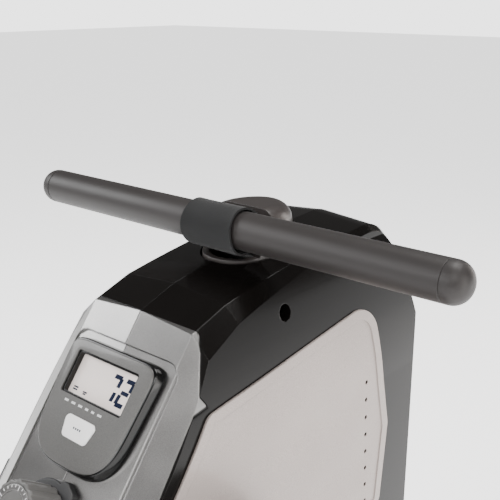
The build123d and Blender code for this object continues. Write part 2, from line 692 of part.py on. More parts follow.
with BuildPart() as rear_foot:
    rod(-FOOT_HALF, REAR_FOOT_Y, FOOT_Z, FOOT_R, 2 * FOOT_HALF)
    block((-25, 25), (REAR_FOOT_Y - 20, REAR_FOOT_Y + 20), (FOOT_Z, RAIL_TOP - RAIL_DEPTH - 4))
    block((-34, 34), (REAR_FOOT_Y - 20, REAR_FOOT_Y + 70), (RAIL_TOP - RAIL_DEPTH - 4, RAIL_TOP - RAIL_DEPTH))
    rod(-FOOT_HALF - 1, REAR_FOOT_Y, FOOT_Z, FOOT_R - 2, 2 * FOOT_HALF + 2, Mode.SUBTRACT)
    with Locations((0, REAR_FOOT_Y + 46, RAIL_TOP - RAIL_DEPTH - 4)):
        with GridLocations(54, 26, 2, 2):
            Cylinder(4.5, 4, align=(Align.CENTER, Align.CENTER, Align.MAX))
finish(rear_foot, "rear_foot")

for end, y in (("front", FRONT_FOOT_Y), ("rear", REAR_FOOT_Y)):
    with BuildPart() as foot_caps:
        for side in (-1, 1):
            x = min(side * (FOOT_HALF - 26), side * (FOOT_HALF + 4))
            rod(x, y, FOOT_Z, FOOT_Z, 30)
        fillet(edges().filter_by(GeomType.CIRCLE), 2.5)
        for side in (-1, 1):
            x = side * (FOOT_HALF - 11)
            block((x - 11, x + 11), (y - 12, y + 12), (0, 8))
        rod(-FOOT_HALF, y, FOOT_Z, FOOT_R + 0.02, 2 * FOOT_HALF, Mode.SUBTRACT)
    finish(foot_caps, f"{end}_foot_caps")

for side, name in SIDES:
    x = side * 166
    with BuildPart() as transport_wheel:
        rod(x - 10, HALF_LENGTH - TYRE_R, FOOT_Z + 1, TYRE_R, 20)
        fillet(edges().filter_by(GeomType.CIRCLE), 3)
        rod(x - 12, HALF_LENGTH - TYRE_R, FOOT_Z + 1, 4 + RUN, 24, Mode.SUBTRACT)
    finish(transport_wheel, f"transport_wheel_{name}")

# ---- Rail, its fold and its stops ----
with BuildPart() as rail:
    with BuildSketch(Plane.XZ.offset(-RAIL_FRONT)):
        with Locations((0, RAIL_TOP)):
            Rectangle(2 * FLANGE_HALF, FLANGE_T, align=(Align.CENTER, Align.MAX))
            Rectangle(2 * WEB_HALF, RAIL_DEPTH, align=(Align.CENTER, Align.MAX))
        fillet(vertices().sort_by(Axis.Y)[-2:], 3)
        with Locations((0, RAIL_TOP - FLANGE_T)):
            Rectangle(2 * WEB_HALF - 6, RAIL_DEPTH - FLANGE_T - 3, align=(Align.CENTER, Align.MAX), mode=Mode.SUBTRACT)
    extrude(amount=RAIL_FRONT - RAIL_REAR)
    rod(-60, HINGE_Y, HINGE_Z, PIN_R + RUN, 120, Mode.SUBTRACT)
finish(rail, "rail")

with BuildPart() as rail_stops:
    for y in (RAIL_REAR - 5, RAIL_FRONT):
        block((-WEB_HALF, WEB_HALF), (y, y + 5), (RAIL_TOP - RAIL_DEPTH + 3, RAIL_TOP - FLANGE_T))
        block((-FLANGE_HALF, FLANGE_HALF), (y, y + 5), (RAIL_TOP - FLANGE_T, RAIL_TOP))
    for y in (RAIL_REAR + 20, 310):
        block((-8, 8), (y, y + 12), (RAIL_TOP, RAIL_TOP + 24))
finish(rail_stops, "rail_stops")

with BuildPart() as fold_bracket:
    block((-38, 38), (318, 424), (124, 128))
    for side in (-1, 1):
        with BuildSketch(Plane.YZ.offset(min(side * 34, side * 38))):
            Polygon((318, 126), (318, 190), (330, 196), (384, 196), (424, 150), (424, 126), align=None)
        extrude(amount=4)
    rod(-60, HINGE_Y, HINGE_Z, PIN_R + 0.02, 120, Mode.SUBTRACT)
    rod(30, HINGE_Y + 22, HINGE_Z + 12, 5 + RUN, 20, Mode.SUBTRACT)
finish(fold_bracket, "fold_bracket")

with BuildPart() as hinge_pin:
    rod(-44, HINGE_Y, HINGE_Z, PIN_R, 88)
    for x in (-48, 44):
        rod(x, HINGE_Y, HINGE_Z, PIN_R + 5, 4)
finish(hinge_pin, "hinge_pin")

with BuildPart() as lock_knob:
    rod(WEB_HALF + 0.8, HINGE_Y + 22, HINGE_Z + 12, 5, 30)
    with BuildSketch(Plane.YZ.offset(50)):
        with Locations((HINGE_Y + 22, HINGE_Z + 12)):
            Circle(16)
            with PolarLocations(15, 5):
                Circle(8)
    extrude(amount=18)
    fillet(faces().sort_by(Axis.X)[-1].edges(), 3)
finish(lock_knob, "lock_knob")

# ---- Seat ----
ROLLER_AXLE_Z = RAIL_TOP + TOP_ROLLER_R + GAP
LOW_AXLE_Z = RAIL_TOP - FLANGE_T - LOW_ROLLER_R - GAP
with BuildPart() as carriage:
    block((-60, 60), (SEAT_Y - CARRIAGE_HALF, SEAT_Y + CARRIAGE_HALF), (CARRIAGE_TOP - 4, CARRIAGE_TOP))
    for side in (-1, 1):
        with BuildSketch(Plane.YZ.offset(min(side * 38, side * 41))):
            with Locations((SEAT_Y, 0)):
                Polygon((-CARRIAGE_HALF, 240), (-78, 185), (78, 185), (CARRIAGE_HALF, 240),
                        (CARRIAGE_HALF, 252), (-CARRIAGE_HALF, 252), align=None)
            fillet(vertices().group_by(Axis.Y)[0], 12)
        extrude(amount=3)
    for y in (SEAT_Y - ROLLER_REACH, SEAT_Y + ROLLER_REACH):
        rod(-60, y, ROLLER_AXLE_Z, 5.02, 120, Mode.SUBTRACT)
        rod(-60, y, LOW_AXLE_Z, 4.02, 120, Mode.SUBTRACT)
finish(carriage, "carriage")

with BuildPart() as carriage_axles:
    for y in (SEAT_Y - ROLLER_REACH, SEAT_Y + ROLLER_REACH):
        rod(-46, y, ROLLER_AXLE_Z, 5, 92)
        for x in (-45, 41.2):
            rod(x, y, ROLLER_AXLE_Z, 8, 3.8)
        for side in (-1, 1):
            rod(min(side * 23, side * 45), y, LOW_AXLE_Z, 4, 22)
            rod(min(side * 41.2, side * 45), y, LOW_AXLE_Z, 7, 3.8)
    with Locations((0, SEAT_Y, CARRIAGE_TOP - 4)):
        with GridLocations(100, 140, 2, 2):
            Cylinder(6, 4, align=(Align.CENTER, Align.CENTER, Align.MAX))
finish(carriage_axles, "carriage_axles")

for end, y in (("front", SEAT_Y + ROLLER_REACH), ("rear", SEAT_Y - ROLLER_REACH)):
    with BuildPart() as top_rollers:
        rod(-30, y, ROLLER_AXLE_Z, TOP_ROLLER_R, 18)
        rod(12, y, ROLLER_AXLE_Z, TOP_ROLLER_R, 18)
        fillet(edges().filter_by(GeomType.CIRCLE), 1.5)
        rod(-31, y, ROLLER_AXLE_Z, 8.5, 62)
        rod(-32, y, ROLLER_AXLE_Z, 5 + RUN, 64, Mode.SUBTRACT)
    finish(top_rollers, f"top_rollers_{end}")


with BuildPart() as low_guides:
    for y in (SEAT_Y - ROLLER_REACH, SEAT_Y + ROLLER_REACH):
        for side in (-1, 1):
            x = min(side * 24, side * 36)
            rod(x, y, LOW_AXLE_Z, LOW_ROLLER_R, 12)
            rod(x, y, LOW_AXLE_Z, 4 + RUN, 12, Mode.SUBTRACT)
finish(low_guides, "low_guides")


def seat_outline(height, grow):
    """The seat's rounded outline, grown by a margin."""
    with BuildSketch(Plane.XY.offset(height)) as outline:
        with Locations((0, SEAT_Y)):
            RectangleRounded(290 + 2 * grow, 214 + 2 * grow, 62 + grow)
    return outline.sketch


with BuildPart() as seat_base:
    extrude(seat_outline(CARRIAGE_TOP, -12), amount=8)
    extrude(seat_outline(CARRIAGE_TOP + 8, 0), amount=6)
finish(seat_base, "seat_base")

with BuildPart() as seat_cushion:
    extrude(seat_outline(CARRIAGE_TOP + 14.2, 4), amount=38)
    fillet(faces().sort_by(Axis.Z)[-1].edges(), 14)
finish(seat_cushion, "seat_cushion")

# ---- Pedals ----
with BuildPart() as pedal_shaft:
    rod(-PEDAL_X - 58, PEDAL_Y, PEDAL_Z, AXLE_R, 2 * PEDAL_X + 116)
    for x in (-PEDAL_X - 61, PEDAL_X + 53):
        rod(x, PEDAL_Y, PEDAL_Z, 12, 8)
finish(pedal_shaft, "pedal_shaft")

STRAP_UP = 62  # the toe strap's place along the pedal
for side, name in SIDES:
    x = side * PEDAL_X
    with BuildPart() as pedal:
        with BuildSketch(pedal_plane(x, 11)):
            RectangleRounded(PEDAL_W, PEDAL_L, 30)
        extrude(amount=9)
        with BuildSketch(pedal_plane(x, 20)):
            RectangleRounded(PEDAL_W, PEDAL_L, 30)
            RectangleRounded(PEDAL_W - 10, PEDAL_L - 10, 25, mode=Mode.SUBTRACT)
            with Locations((0, 66)):
                Rectangle(PEDAL_W + 2, PEDAL_L, mode=Mode.SUBTRACT)
        extrude(amount=34)
        with BuildSketch(pedal_plane(x, 20)):
            with Locations(*[(0, -100 + 24 * i) for i in range(10)]):
                RectangleRounded(66, 7, 3)
        extrude(amount=1.6)
        rod(x - 50, PEDAL_Y, PEDAL_Z, 15, 100)
        with BuildSketch(pedal_plane(x, 11)):
            with Locations((-46, STRAP_UP), (46, STRAP_UP)):
                RectangleRounded(5, 42, 2)
        extrude(amount=20, mode=Mode.SUBTRACT)
        rod(x - 60, PEDAL_Y, PEDAL_Z, AXLE_R + RUN, 120, Mode.SUBTRACT)
    finish(pedal, f"pedal_{name}")

    with BuildPart() as toe_strap:
        arch = pedal_plane(x)
        across = Plane(origin=arch.origin + arch.y_dir * (STRAP_UP - 19), x_dir=(1, 0, 0), z_dir=-arch.y_dir)
        with BuildSketch(across):
            with Locations((0, 18)):
                Ellipse(47.5, 56)
                Ellipse(44.5, 53, mode=Mode.SUBTRACT)
                Rectangle(120, 80, align=(Align.CENTER, Align.MAX), mode=Mode.SUBTRACT)
            for post in (-46, 46):
                with Locations((post, 7)):
                    Rectangle(3, 12, align=(Align.CENTER, Align.MIN))
        extrude(amount=-38)
    finish(toe_strap, f"toe_strap_{name}")

# ---- Fasteners ----
with BuildPart() as shell_screws:
    for side in (-1, 1):
        rod(min(side * 50, side * 60), SCREW_Y, SCREW_Z, 2.8, 10)
        rod(min(side * 60, side * 62), SCREW_Y, SCREW_Z, 5.2, 2)
finish(shell_screws, "shell_screws")
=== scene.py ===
import json
import math
import bmesh
import bpy
from mathutils import Matrix, Vector


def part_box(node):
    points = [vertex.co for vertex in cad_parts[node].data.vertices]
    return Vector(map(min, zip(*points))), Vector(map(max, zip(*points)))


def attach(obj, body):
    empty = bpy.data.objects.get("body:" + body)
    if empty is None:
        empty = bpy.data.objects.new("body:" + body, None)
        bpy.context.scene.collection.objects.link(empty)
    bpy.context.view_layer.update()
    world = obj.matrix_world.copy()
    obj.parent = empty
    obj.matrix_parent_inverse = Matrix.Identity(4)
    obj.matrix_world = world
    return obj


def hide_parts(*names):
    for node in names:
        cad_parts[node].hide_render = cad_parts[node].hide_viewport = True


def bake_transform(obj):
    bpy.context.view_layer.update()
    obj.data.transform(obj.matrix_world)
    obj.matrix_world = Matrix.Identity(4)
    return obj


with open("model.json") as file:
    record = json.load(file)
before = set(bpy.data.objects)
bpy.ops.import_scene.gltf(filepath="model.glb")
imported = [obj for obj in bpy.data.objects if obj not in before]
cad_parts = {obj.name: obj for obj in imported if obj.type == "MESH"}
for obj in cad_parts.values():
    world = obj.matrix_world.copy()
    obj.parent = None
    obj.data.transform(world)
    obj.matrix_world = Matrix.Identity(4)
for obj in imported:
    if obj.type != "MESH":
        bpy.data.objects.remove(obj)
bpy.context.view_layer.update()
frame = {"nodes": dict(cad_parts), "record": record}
nodes = frame["nodes"]

# the stowed bar, the console slope and the knob are what most pieces are placed from
barLow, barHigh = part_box("grips")
barCentre = (barLow + barHigh) / 2
slopeAngle = math.radians(52.8)
slopeTop = barCentre + Vector((0, -0.087, -0.051))
slopeUp = Vector((0, math.cos(slopeAngle), math.sin(slopeAngle)))
slopeOut = Vector((0, -math.sin(slopeAngle), math.cos(slopeAngle)))


def slopePlace(x, down, out):
    # mm across, down the console face from its top edge, and out of it
    point = slopeTop - slopeUp * (down / 1000) + slopeOut * (out / 1000)
    return Matrix((
        (1, 0, 0, x / 1000),
        (0, slopeUp.y, slopeOut.y, point.y),
        (0, slopeUp.z, slopeOut.z, point.z),
        (0, 0, 0, 1)))


# ---------- camera and light ----------

camera = {"lens": 59.76, "left": 41.4, "down": 17.3, "offset": (0.4601, -0.4810, 0.1849)}


def makeCamera():
    data = bpy.data.cameras.new("camera")
    data.lens = camera["lens"]
    data.sensor_width = 36
    data.clip_start = 0.02
    obj = bpy.data.objects.new("camera", data)
    obj.location = barCentre + Vector(camera["offset"])
    obj.rotation_euler = (math.radians(90 - camera["down"]), 0, math.radians(camera["left"]))
    bpy.context.scene.collection.objects.link(obj)
    bpy.context.scene.camera = obj


lights = [
    # name, place from the bar, aimed at from the bar, size, watts, tint
    ("overhead", (0.2, 0.5, 1.5), (0, 0, 0), (1.0, 0.8), 30, (1, 0.985, 0.97)),
    ("rightSoft", (2.0, 0.1, 0.3), (0, 0.1, -0.2), (0.9, 1.6), 26, (1, 0.97, 0.94)),
    ("leftSoft", (-1.7, -0.8, 1.0), (0, -0.1, -0.1), (0.7, 0.9), 30, (0.98, 0.99, 1)),
    ("edgeSoft", (1.2, -1.3, 1.35), (0, -0.1, -0.1), (0.6, 0.6), 24, (1, 0.99, 0.98)),
    ("behindStrip", (0.5, 2.0, 0.1), (0, 0.2, -0.2), (0.4, 1.4), 14, (1, 0.93, 0.88)),
    ("rearFill", (-0.6, -2.8, 1.3), (0, -0.9, -0.3), (1.8, 1.2), 60, (1, 1, 1)),
]


def makeLights():
    for name, place, aim, size, power, tint in lights:
        data = bpy.data.lights.new(name, "AREA")
        data.shape = "RECTANGLE"
        data.size, data.size_y = size
        data.energy = power
        data.color = tint
        obj = bpy.data.objects.new(name, data)
        obj.location = barCentre + Vector(place)
        obj.rotation_euler = (Vector(aim) - Vector(place)).to_track_quat("-Z", "Y").to_euler()
        bpy.context.scene.collection.objects.link(obj)
    world = bpy.data.worlds.new("studio")
    bpy.context.scene.world = world
    world.use_nodes = True
    tree = world.node_tree
    path = tree.nodes.new("ShaderNodeLightPath")
    mix = tree.nodes.new("ShaderNodeMixShader")
    seen = tree.nodes.new("ShaderNodeBackground")
    lit = tree.nodes["Background"]
    seen.inputs["Color"].default_value = (1, 1, 1, 1)
    seen.inputs["Strength"].default_value = 3.0
    lit.inputs["Color"].default_value = (1, 0.99, 0.98, 1)
    lit.inputs["Strength"].default_value = 0.16
    tree.links.new(path.outputs["Is Camera Ray"], mix.inputs[0])
    tree.links.new(lit.outputs[0], mix.inputs[1])
    tree.links.new(seen.outputs[0], mix.inputs[2])
    tree.links.new(mix.outputs[0], tree.nodes["World Output"].inputs["Surface"])


def makeFloor():
    bm = bmesh.new()
    bmesh.ops.create_grid(bm, x_segments=1, y_segments=1, size=14)
    bmesh.ops.translate(bm, vec=(0, 0, -0.0005), verts=bm.verts)
    mesh = bpy.data.meshes.new("floor")
    bm.to_mesh(mesh)
    bm.free()
    obj = bpy.data.objects.new("floor", mesh)
    bpy.context.scene.collection.objects.link(obj)
    material = bpy.data.materials.new("paleFloor")
    material.use_nodes = True
    shader = material.node_tree.nodes["Principled BSDF"]
    shader.inputs["Base Color"].default_value = (0.9, 0.9, 0.9, 1)
    shader.inputs["Roughness"].default_value = 0.9
    shader.inputs["Emission Color"].default_value = (1, 1, 1, 1)
    shader.inputs["Emission Strength"].default_value = 1.7
    mesh.materials.append(material)


# ---------- materials ----------

def startMaterial(name, colour, rough, metal=0.0, coat=0.0, coatRough=0.1, sheen=0.0,
                  specular=0.5):
    material = bpy.data.materials.new(name)
    material.use_nodes = True
    tree = material.node_tree
    shader = tree.nodes["Principled BSDF"]
    shader.inputs["Base Color"].default_value = (*colour, 1)
    shader.inputs["Roughness"].default_value = rough
    shader.inputs["Metallic"].default_value = metal
    shader.inputs["Coat Weight"].default_value = coat
    shader.inputs["Coat Roughness"].default_value = coatRough
    shader.inputs["Sheen Weight"].default_value = sheen
    shader.inputs["Specular IOR Level"].default_value = specular
    place = tree.nodes.new("ShaderNodeTexCoord")
    return material, tree, shader, place.outputs["Object"]


def addNoise(tree, place, scale, detail=3.0, stretch=None):
    if stretch:
        mapping = tree.nodes.new("ShaderNodeMapping")
        mapping.inputs["Scale"].default_value = stretch
        tree.links.new(place, mapping.inputs["Vector"])
        place = mapping.outputs["Vector"]
    noise = tree.nodes.new("ShaderNodeTexNoise")
    noise.inputs["Scale"].default_value = scale
    noise.inputs["Detail"].default_value = detail
    tree.links.new(place, noise.inputs["Vector"])
    return noise.outputs["Fac"]


def addRange(tree, fac, low, high, socket, fromLow=0.3, fromHigh=0.7):
    spread = tree.nodes.new("ShaderNodeMapRange")
    spread.inputs["From Min"].default_value = fromLow
    spread.inputs["From Max"].default_value = fromHigh
    spread.inputs["To Min"].default_value = low
    spread.inputs["To Max"].default_value = high
    tree.links.new(fac, spread.inputs["Value"])
    tree.links.new(spread.outputs["Result"], socket)


def addTint(tree, fac, dark, light, socket, fromLow=0.3, fromHigh=0.7):
    ramp = tree.nodes.new("ShaderNodeValToRGB")
    ramp.color_ramp.elements[0].position = fromLow
    ramp.color_ramp.elements[0].color = (*dark, 1)
    ramp.color_ramp.elements[1].position = fromHigh
    ramp.color_ramp.elements[1].color = (*light, 1)
    tree.links.new(fac, ramp.inputs["Fac"])
    tree.links.new(ramp.outputs["Color"], socket)


def addBump(tree, shader, height, strength, distance, round=0.0):
    bump = tree.nodes.new("ShaderNodeBump")
    bump.inputs["Strength"].default_value = strength
    bump.inputs["Distance"].default_value = distance
    tree.links.new(height, bump.inputs["Height"])
    if round:
        bevel = tree.nodes.new("ShaderNodeBevel")
        bevel.samples = 6
        bevel.inputs["Radius"].default_value = round
        tree.links.new(bevel.outputs["Normal"], bump.inputs["Normal"])
    tree.links.new(bump.outputs["Normal"], shader.inputs["Normal"])


def scaled(colour, factor):
    return tuple(min(1, c * factor) for c in colour)


def moulded(name, colour, rough, grain=1400, strength=0.15, round=0.0008, **more):
    # plastic: a fine moulded grain, uneven gloss and a little handling haze
    material, tree, shader, place = startMaterial(name, colour, rough, **more)
    haze = addNoise(tree, place, 14, 4)
    addTint(tree, haze, scaled(colour, 0.9), scaled(colour, 1.1), shader.inputs["Base Color"])
    addRange(tree, haze, rough * 0.88, rough * 1.15, shader.inputs["Roughness"])
    addBump(tree, shader, addNoise(tree, place, grain, 2), strength, 0.0001, round)
    return material


def metallicPaint(name, colour, rough, fleck=2600, metal=0.7, round=0.001):
    # silver paint over plastic: tiny flecks of different brightness
    material, tree, shader, place = startMaterial(name, colour, rough, metal=metal, coat=0.25)
    flecks = addNoise(tree, place, fleck, 1)
    addTint(tree, flecks, scaled(colour, 0.78), scaled(colour, 1.22), shader.inputs["Base Color"])
    addRange(tree, addNoise(tree, place, 25, 3), rough * 0.9, rough * 1.12, shader.inputs["Roughness"])
    addBump(tree, shader, flecks, 0.12, 0.00008, round)
    return material


def brushed(name, colour, rough, stretch=(6, 400, 400), metal=1.0):
    # turned or drawn metal: long scratches one way
    material, tree, shader, place = startMaterial(name, colour, rough, metal=metal)
    lines = addNoise(tree, place, 9, 4, stretch)
    addTint(tree, lines, scaled(colour, 0.8), scaled(colour, 1.15), shader.inputs["Base Color"])
    addRange(tree, lines, rough * 0.8, rough * 1.3, shader.inputs["Roughness"])
    addBump(tree, shader, lines, 0.12, 0.0001, 0.0006)
    return material


def powderCoat(name, colour, rough):
    # baked paint: orange-peel lumps and an uneven tint
    material, tree, shader, place = startMaterial(name, colour, rough, coat=0.15, coatRough=0.25)
    peel = addNoise(tree, place, 480, 3)
    addTint(tree, addNoise(tree, place, 22, 5), scaled(colour, 0.85), scaled(colour, 1.25),
            shader.inputs["Base Color"])
    addRange(tree, addNoise(tree, place, 60, 3), rough * 0.85, rough * 1.2, shader.inputs["Roughness"])
    addBump(tree, shader, peel, 0.22, 0.0002, 0.0008)
    return material


def foamGrip(name, colour):
    # dense foam grip: skin-like fine pores, a soft broad highlight, slight rubbing
    material, tree, shader, place = startMaterial(name, colour, 0.5, sheen=0.02, specular=0.42)
    pores = addNoise(tree, place, 3800, 2)
    rub = addNoise(tree, place, 18, 5, (0.4, 1, 1))
    addTint(tree, rub, scaled(colour, 0.88), scaled(colour, 1.12), shader.inputs["Base Color"])
    addRange(tree, rub, 0.46, 0.55, shader.inputs["Roughness"])
    addBump(tree, shader, pores, 0.22, 0.00012, 0.0008)
    return material


def webbing(name, colour, across="X", pitch=0.0011):
    # woven strap: ribs both ways, from two wave patterns, with a fuzzy sheen
    material, tree, shader, place = startMaterial(name, colour, 0.85, sheen=0.12, specular=0.2)
    total = None
    for direction, size in ((across, pitch), ("DIAGONAL", pitch * 0.8)):
        wave = tree.nodes.new("ShaderNodeTexWave")
        wave.wave_type = "BANDS"
        wave.bands_direction = direction
        wave.inputs["Scale"].default_value = 0.3142 / size
        wave.inputs["Distortion"].default_value = 0.8
        wave.inputs["Detail"].default_value = 1.5
        tree.links.new(place, wave.inputs["Vector"])
        if total is None:
            total = wave.outputs["Fac"]
        else:
            mix = tree.nodes.new("ShaderNodeMath")
            mix.operation = "MULTIPLY_ADD"
            mix.inputs[1].default_value = 0.5
            tree.links.new(wave.outputs["Fac"], mix.inputs[0])
            tree.links.new(total, mix.inputs[2])
            total = mix.outputs[0]
    addTint(tree, total, scaled(colour, 0.6), scaled(colour, 1.3), shader.inputs["Base Color"],
            0.1, 1.2)
    addBump(tree, shader, total, 0.55, 0.00025)
    return material


def leatherette(name, colour):
    # seat cover: pebbled vinyl; the creases between the pebbles are painted darker, as painted shade
    material, tree, shader, place = startMaterial(name, colour, 0.48, sheen=0.05)
    pebble = tree.nodes.new("ShaderNodeTexVoronoi")
    pebble.feature = "SMOOTH_F1"
    pebble.inputs["Scale"].default_value = 620
    tree.links.new(place, pebble.inputs["Vector"])
    grain = pebble.outputs["Distance"]
    # painted shade: the tint darkens towards the pebbles' edges, down in the creases
    addTint(tree, grain, scaled(colour, 1.25), scaled(colour, 0.6), shader.inputs["Base Color"],
            0.1, 0.7)
    addRange(tree, addNoise(tree, place, 30, 4), 0.4, 0.58, shader.inputs["Roughness"])
    addBump(tree, shader, grain, -0.35, 0.0003)
    return material


def castIron(name, colour):
    material, tree, shader, place = startMaterial(name, colour, 0.5, metal=0.85)
    rough = addNoise(tree, place, 260, 6)
    addTint(tree, rough, scaled(colour, 0.7), scaled(colour, 1.3), shader.inputs["Base Color"])
    addRange(tree, rough, 0.4, 0.62, shader.inputs["Roughness"])
    addBump(tree, shader, rough, 0.3, 0.0002, 0.0006)
    return material


def glowGlass(name, colour):
    # display: a pale reflective screen under clear glass, a little uneven in tint across its face
    material, tree, shader, place = startMaterial(name, colour, 0.22, coat=0.8, coatRough=0.04)
    addTint(tree, addNoise(tree, place, 30, 2), scaled(colour, 0.96), scaled(colour, 1.03),
            shader.inputs["Base Color"])
    # painted light: a faint emission makes the unlit reflective screen glow
    shader.inputs["Emission Color"].default_value = (*colour, 1)
    shader.inputs["Emission Strength"].default_value = 0.22
    return material


finishes = {
    "shell": moulded("blackShell", (0.0035, 0.0029, 0.0026), 0.17, 900, 0.03, 0.0008, specular=0.2),
    "panel": metallicPaint("palePanel", (0.36, 0.31, 0.288), 0.42, 2200, 0.35, 0.0012),
    "surround": metallicPaint("silverSurround", (0.2, 0.196, 0.192), 0.3, 2600, 0.9, 0.0015),
    "console_black": moulded("blackGloss", (0.003, 0.003, 0.003), 0.15, 900, 0.03, 0.0012,
                             specular=0.35),
    "console_face": metallicPaint("greyFace", (0.075, 0.073, 0.07), 0.5, 1900, 0.2, 0.0008),
    "lcd": glowGlass("screen", (0.76, 0.68, 0.64)),
    "board": moulded("boardGreen", (0.02, 0.12, 0.05), 0.4),
    "button": moulded("buttonWhite", (0.86, 0.85, 0.84), 0.4, 2000, 0.08, 0.0012),
    "black_plastic": moulded("blackPlastic", (0.022, 0.022, 0.023), 0.45, 1100, 0.25, 0.001),
    "knob": moulded("knobGrey", (0.09, 0.088, 0.085), 0.38, 1500, 0.2, 0.001),
    "guide": moulded("guideGrey", (0.032, 0.027, 0.0255), 0.36, 1600, 0.2, 0.0014),
    "steel": brushed("steel", (0.6, 0.6, 0.6), 0.28),
    "grip": foamGrip("barFoam", (0.016, 0.0132, 0.0125)),
    "webbing": webbing("strapWebbing", (0.0065, 0.0067, 0.007)),
    "iron": castIron("flywheelIron", (0.2, 0.2, 0.2)),
    "rubber": moulded("blackRubber", (0.016, 0.016, 0.016), 0.7, 700, 0.35, 0.0012),
    "paint": powderCoat("blackPaint", (0.02, 0.02, 0.021), 0.35),
    "aluminium": brushed("railAluminium", (0.78, 0.78, 0.79), 0.32, (400, 5, 400)),
    "magnet": brushed("magnetNickel", (0.75, 0.74, 0.7), 0.2, (60, 60, 60)),
    "vinyl": leatherette("seatVinyl", (0.02, 0.02, 0.021)),
}
inkDark = moulded("displayInk", (0.004, 0.008, 0.028), 0.6, 900, 0.02, 0, specular=0.1)
inkWhite = moulded("labelWhite", (0.8, 0.8, 0.8), 0.5, 900, 0.02, 0)
# painted shade: the steel screw heads are made near-black so that their recesses in the shell read as
# dark holes
recessShadeScrew = brushed("screwRecessShade", (0.03, 0.03, 0.03), 0.3, (80, 80, 80))


def finishNodes():
    slots = {s["node"]: s["material_slot"] for s in frame["record"]["subparts"]}
    for name, obj in nodes.items():
        # the shell's screws take the near-black finish, painted shade for their recesses
        material = recessShadeScrew if name == "shell_screws" else finishes[slots[name]]
        obj.data.materials.clear()
        obj.data.materials.append(material)


# ---------- making pieces ----------

def addPiece(name, bm, body, material, replaced=(), smooth=40):
    bmesh.ops.recalc_face_normals(bm, faces=bm.faces)
    mesh = bpy.data.meshes.new(name)
    bm.to_mesh(mesh)
    bm.free()
    obj = bpy.data.objects.new(name, mesh)
    bpy.context.scene.collection.objects.link(obj)
    mesh.materials.append(material)
    if smooth:
        mesh.shade_smooth()
        mesh.set_sharp_from_angle(angle=math.radians(smooth))
    if body:
        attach(obj, body)
    if replaced:
        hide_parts(*replaced)
    return obj


def applyModifiers(obj):
    bpy.context.view_layer.update()
    graph = bpy.context.evaluated_depsgraph_get()
    fresh = bpy.data.meshes.new_from_object(obj.evaluated_get(graph))
    obj.modifiers.clear()
    old = obj.data
    obj.data = fresh
    fresh.name = obj.name
    bpy.data.meshes.remove(old)


def addBand(bm, ring, along, steps):
    # pulls a row of edges along in even steps, so that the band can bend
    edges = ring
    for i in range(steps):
        made = bmesh.ops.extrude_edge_only(bm, edges=edges)
        verts = [g for g in made["geom"] if isinstance(g, bmesh.types.BMVert)]
        edges = [g for g in made["geom"] if isinstance(g, bmesh.types.BMEdge)]
        edges = [e for e in edges if all(v in verts for v in e.verts)]
        bmesh.ops.translate(bm, vec=along / steps, verts=verts)


sleeve = {"half": 0.0272, "middle": 0.0035, "radius": 0.0170, "thick": 0.0018, "sag": 0.0035,
          "steps": 20}


def makeSleeve():
    # the webbing loop round the bar, a little loose and hanging towards the strap guide
    bm = bmesh.new()
    made = bmesh.ops.create_circle(bm, segments=72, radius=sleeve["radius"])
    bmesh.ops.rotate(bm, verts=bm.verts, cent=(0, 0, 0), matrix=Matrix.Rotation(math.pi / 2, 3, "Y"))
    bmesh.ops.translate(bm, vec=(-sleeve["half"], 0, 0), verts=bm.verts)
    addBand(bm, list(bm.edges), Vector((2 * sleeve["half"], 0, 0)), sleeve["steps"])
    for v in bm.verts:
        side = v.co.x / sleeve["half"]
        turn = math.atan2(v.co.z, v.co.y)
        low = max(0, -math.sin(turn)) ** 2
        loose = 0.0002 + 0.0008 * max(0, math.cos(turn - 2.5)) * side ** 4
        v.co.x += 0.0009 * math.sin(turn * 2 + 1) * side ** 3
        grow = 1 + (loose + sleeve["sag"] * low * 0.5) / sleeve["radius"]
        v.co.y *= grow
        v.co.z *= grow
    bmesh.ops.translate(bm, vec=barCentre + Vector((sleeve["middle"], 0, 0)), verts=bm.verts)
    obj = addPiece("strapSleeve", bm, "handle", finishes["webbing"], ["strap_loop"])
    thick = obj.modifiers.new("thick", "SOLIDIFY")
    thick.thickness = sleeve["thick"]
    thick.offset = 1
    applyModifiers(obj)
    obj.data.set_sharp_from_angle(angle=math.radians(50))


pull = {"half": 0.0218, "thick": 0.0016, "steps": 16}


def makePullStrap():
    # from over the guide roller to the sleeve: it pays out as the bar is pulled
    rollerLow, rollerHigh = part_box("guide_roller")
    start = Vector((0, (rollerLow.y + rollerHigh.y) / 2, barCentre.z - 0.0238))
    end = Vector((0, barCentre.y + 0.0015, barCentre.z - 0.0225))
    bm = bmesh.new()
    bmesh.ops.create_grid(bm, x_segments=6, y_segments=pull["steps"], size=0.5)
    for v in bm.verts:
        t = v.co.y + 0.5
        v.co = Vector((v.co.x * 2 * pull["half"], start.y + (end.y - start.y) * t,
                       start.z + (end.z - start.z) * t))
    obj = addPiece("pullStrap", bm, None, finishes["webbing"], ["strap_stub"])
    thick = obj.modifiers.new("thick", "SOLIDIFY")
    thick.thickness = pull["thick"]
    thick.offset = 0
    applyModifiers(obj)
    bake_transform(obj)


# ---------- console display, button mark, label and knob ring ----------

# mm; the windows are left, right, top, bottom and corner radius
console = {"middle": 82, "half": 45.2, "taper": 0.062, "rise": 45, "fall": 46,
           "topPower": 9, "lowPower": 3.3,
           "bodyWindow": (-34.5, 32.5, 47, 78, 1), "faceWindow": (-36.5, 34, 45.2, 79.6, 1.8),
           "screen": (70, 33, 0.8)}


